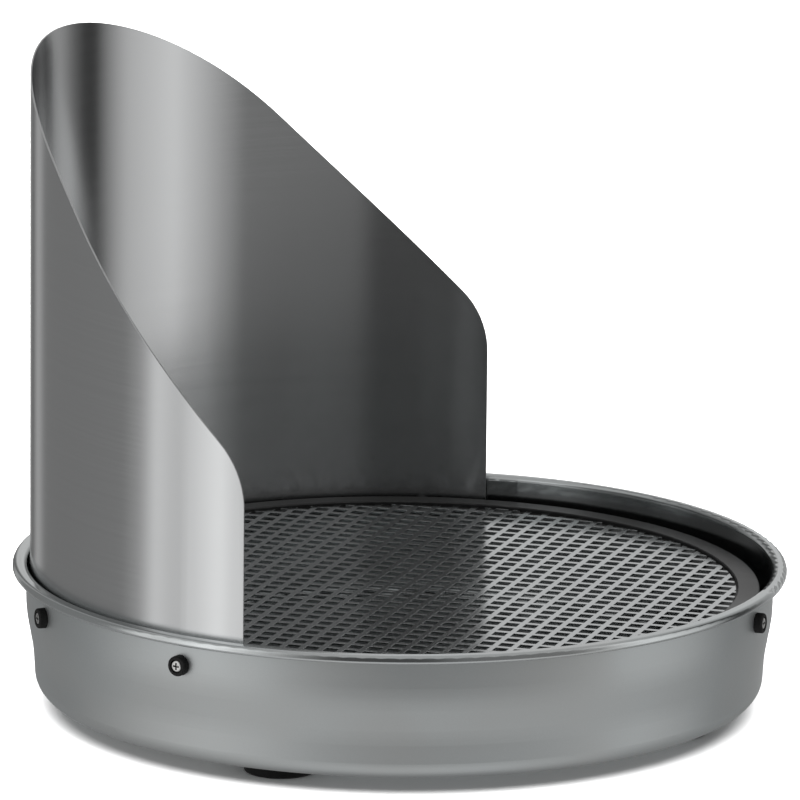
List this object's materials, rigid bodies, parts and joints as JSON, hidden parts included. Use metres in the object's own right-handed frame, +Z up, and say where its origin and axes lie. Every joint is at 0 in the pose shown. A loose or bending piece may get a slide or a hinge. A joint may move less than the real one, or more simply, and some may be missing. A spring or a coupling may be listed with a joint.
{
  "type": "umbrella stand",
  "caption": "Low round steel tray with a loose perforated plate over a drip well and a tall rolled steel shield with a slanted cut, on rubber feet.",
  "frame": {"origin": "on the floor, under the centre of the round tray", "axes": "+Z up; +Y from the tray's centre towards the middle of the shield, so the open side faces -Y; +X to the right when the open side is in front"},
  "size_m": [0.5, 0.5, 0.425],
  "materials": {
    "tray_steel": "satin drawn stainless steel, soft reflections",
    "shield_steel": "stainless sheet with a fine grain round the tray",
    "plate_steel": "satin stainless sheet with square holes",
    "ring_plastic": "black satin plastic",
    "bumper_rubber": "black moulded rubber",
    "foot_rubber": "black moulded rubber",
    "seal_rubber": "black rubber washers",
    "spacer_nylon": "black nylon washers and sleeves",
    "screw_steel": "bright stainless screws",
    "fastener_steel": "plain stainless screws and nuts"
  },
  "bodies": {
    "stand": {"tray": "tray_steel", "support_ring": "ring_plastic", "shield": "shield_steel", "shield_spacers": "spacer_nylon", "ring_sleeves": "spacer_nylon", "bumper_1": "bumper_rubber", "bumper_2": "bumper_rubber", "bumper_3": "bumper_rubber", "bumper_4": "bumper_rubber", "bumper_5": "bumper_rubber", "bumper_6": "bumper_rubber", "bumper_screw_1": "screw_steel", "bumper_screw_2": "screw_steel", "bumper_screw_3": "screw_steel", "bumper_screw_4": "screw_steel", "bumper_screw_5": "screw_steel", "bumper_screw_6": "screw_steel", "foot_1": "foot_rubber", "foot_2": "foot_rubber", "foot_3": "foot_rubber", "foot_4": "foot_rubber", "foot_screws": "fastener_steel", "foot_seals": "seal_rubber", "foot_nuts": "fastener_steel"},
    "plate": {"perforated_plate": "plate_steel"}
  },
  "joints": [
    {"name": "plate_lift", "type": "slide", "parent": "stand", "child": "plate", "axis": [0, 0, 1], "range_m": [0, 0.37]}
  ]
}
